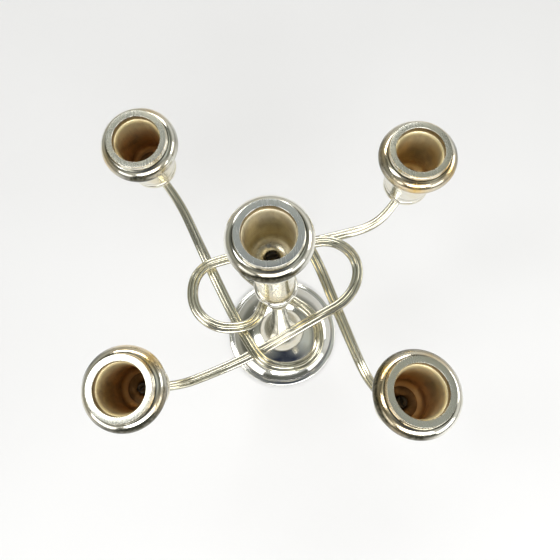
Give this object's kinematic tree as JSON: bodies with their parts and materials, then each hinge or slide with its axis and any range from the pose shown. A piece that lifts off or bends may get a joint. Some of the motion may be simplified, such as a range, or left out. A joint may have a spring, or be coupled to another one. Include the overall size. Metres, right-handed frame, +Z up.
{
  "type": "table candelabrum",
  "caption": "Low table candelabrum: a domed round foot and trumpet stem carry looped, crossing branches, each ending in an upright candle cup with a lift-off drip ring.",
  "frame": {"origin": "middle of the felt underside of the foot, on the column's axis", "axes": "+Z up along the column; -Y is the front of the object and +X its right-hand side seen from the front"},
  "size_m": [0.1802, 0.1688, 0.24],
  "materials": {
    "silver_plate": "polished silver plate with fine wear scratches",
    "satin_silver": "worn satin silver plate with fine turning marks",
    "aged_silver": "silver plate with a warm grey-brown tarnish",
    "gilt_tarnish": "polished silver plate with a golden tarnish",
    "steel": "plain turned steel",
    "ballast": "rough cast filling",
    "closing_plate": "dull brass sheet",
    "felt": "dark green felt"
  },
  "bodies": {
    "stand": {"foot_shell": "silver_plate", "foot_ballast": "ballast", "closing_plate": "closing_plate", "felt_disc": "felt", "stem": "silver_plate", "branch_hub": "aged_silver", "column_ring": "silver_plate", "column_body": "gilt_tarnish", "tie_rod": "steel", "rod_washer": "steel", "rod_nut": "steel", "branch_back_left": "aged_silver", "boss_back_left": "aged_silver", "branch_front_right": "aged_silver", "boss_front_right": "aged_silver", "branch_back_right": "aged_silver", "boss_back_right": "aged_silver", "branch_front_left": "aged_silver", "boss_front_left": "aged_silver", "cup_middle": "silver_plate", "bead_middle": "silver_plate", "cup_back_left": "silver_plate", "bead_back_left": "silver_plate", "cup_back_right": "silver_plate", "bead_back_right": "silver_plate", "cup_front_left": "silver_plate", "bead_front_left": "silver_plate", "cup_front_right": "silver_plate", "bead_front_right": "silver_plate", "cup_screws": "steel"},
    "drip_ring_middle_body": {"drip_ring_middle": "satin_silver"},
    "drip_ring_back_left_body": {"drip_ring_back_left": "satin_silver"},
    "drip_ring_back_right_body": {"drip_ring_back_right": "satin_silver"},
    "drip_ring_front_left_body": {"drip_ring_front_left": "satin_silver"},
    "drip_ring_front_right_body": {"drip_ring_front_right": "satin_silver"}
  },
  "joints": [
    {"name": "lift_drip_ring_middle", "type": "slide", "parent": "stand", "child": "drip_ring_middle_body", "axis": [0, 0, 1], "range_m": [0, 0.015]},
    {"name": "lift_drip_ring_back_left", "type": "slide", "parent": "stand", "child": "drip_ring_back_left_body", "axis": [0, -0.0958, 0.9954], "range_m": [0, 0.015]},
    {"name": "lift_drip_ring_back_right", "type": "slide", "parent": "stand", "child": "drip_ring_back_right_body", "axis": [0, 0.0175, 0.9998], "range_m": [0, 0.015]},
    {"name": "lift_drip_ring_front_left", "type": "slide", "parent": "stand", "child": "drip_ring_front_left_body", "axis": [-0.0522, -0.0697, 0.9962], "range_m": [0, 0.015]},
    {"name": "lift_drip_ring_front_right", "type": "slide", "parent": "stand", "child": "drip_ring_front_right_body", "axis": [0.0868, 0.0868, 0.9924], "range_m": [0, 0.015]}
  ]
}
